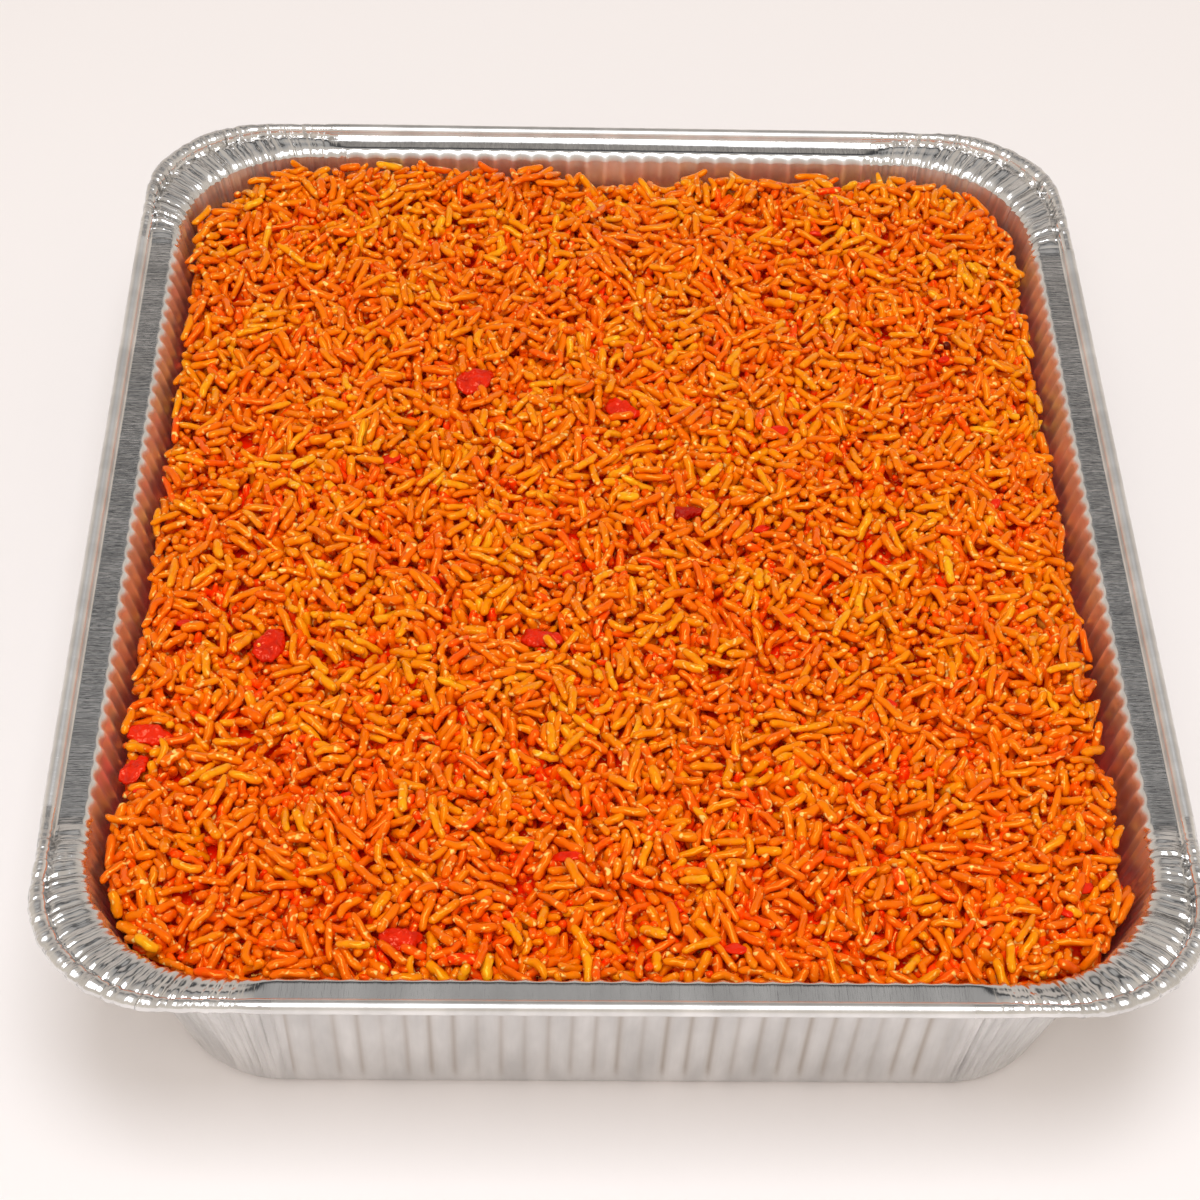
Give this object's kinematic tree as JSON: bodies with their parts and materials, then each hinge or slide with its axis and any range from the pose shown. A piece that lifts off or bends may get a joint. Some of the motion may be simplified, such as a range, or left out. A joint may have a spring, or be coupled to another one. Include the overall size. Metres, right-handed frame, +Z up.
{
  "type": "jollof rice in a foil pan",
  "caption": "Orange-red long-grain jollof rice filling a deep fluted foil pan with a rolled rim, flecked with pieces of red pepper.",
  "frame": {"origin": "centre of the underside of the pan's base", "axes": "+X across the pan, +Y along the pan towards its far end, +Z up"},
  "size_m": [0.264, 0.324, 0.065],
  "materials": {
    "foil": "bright rolled foil with pressed flutes",
    "rice": "moist cooked grain with an oily sheen",
    "pepper": "wet cooked red pepper skin"
  },
  "bodies": {
    "root": {"foil_pan": "foil", "rice_heap": "rice", "red_pepper_1": "pepper", "red_pepper_2": "pepper", "red_pepper_3": "pepper", "red_pepper_4": "pepper", "red_pepper_5": "pepper", "red_pepper_6": "pepper", "red_pepper_7": "pepper", "red_pepper_8": "pepper"}
  },
  "joints": []
}
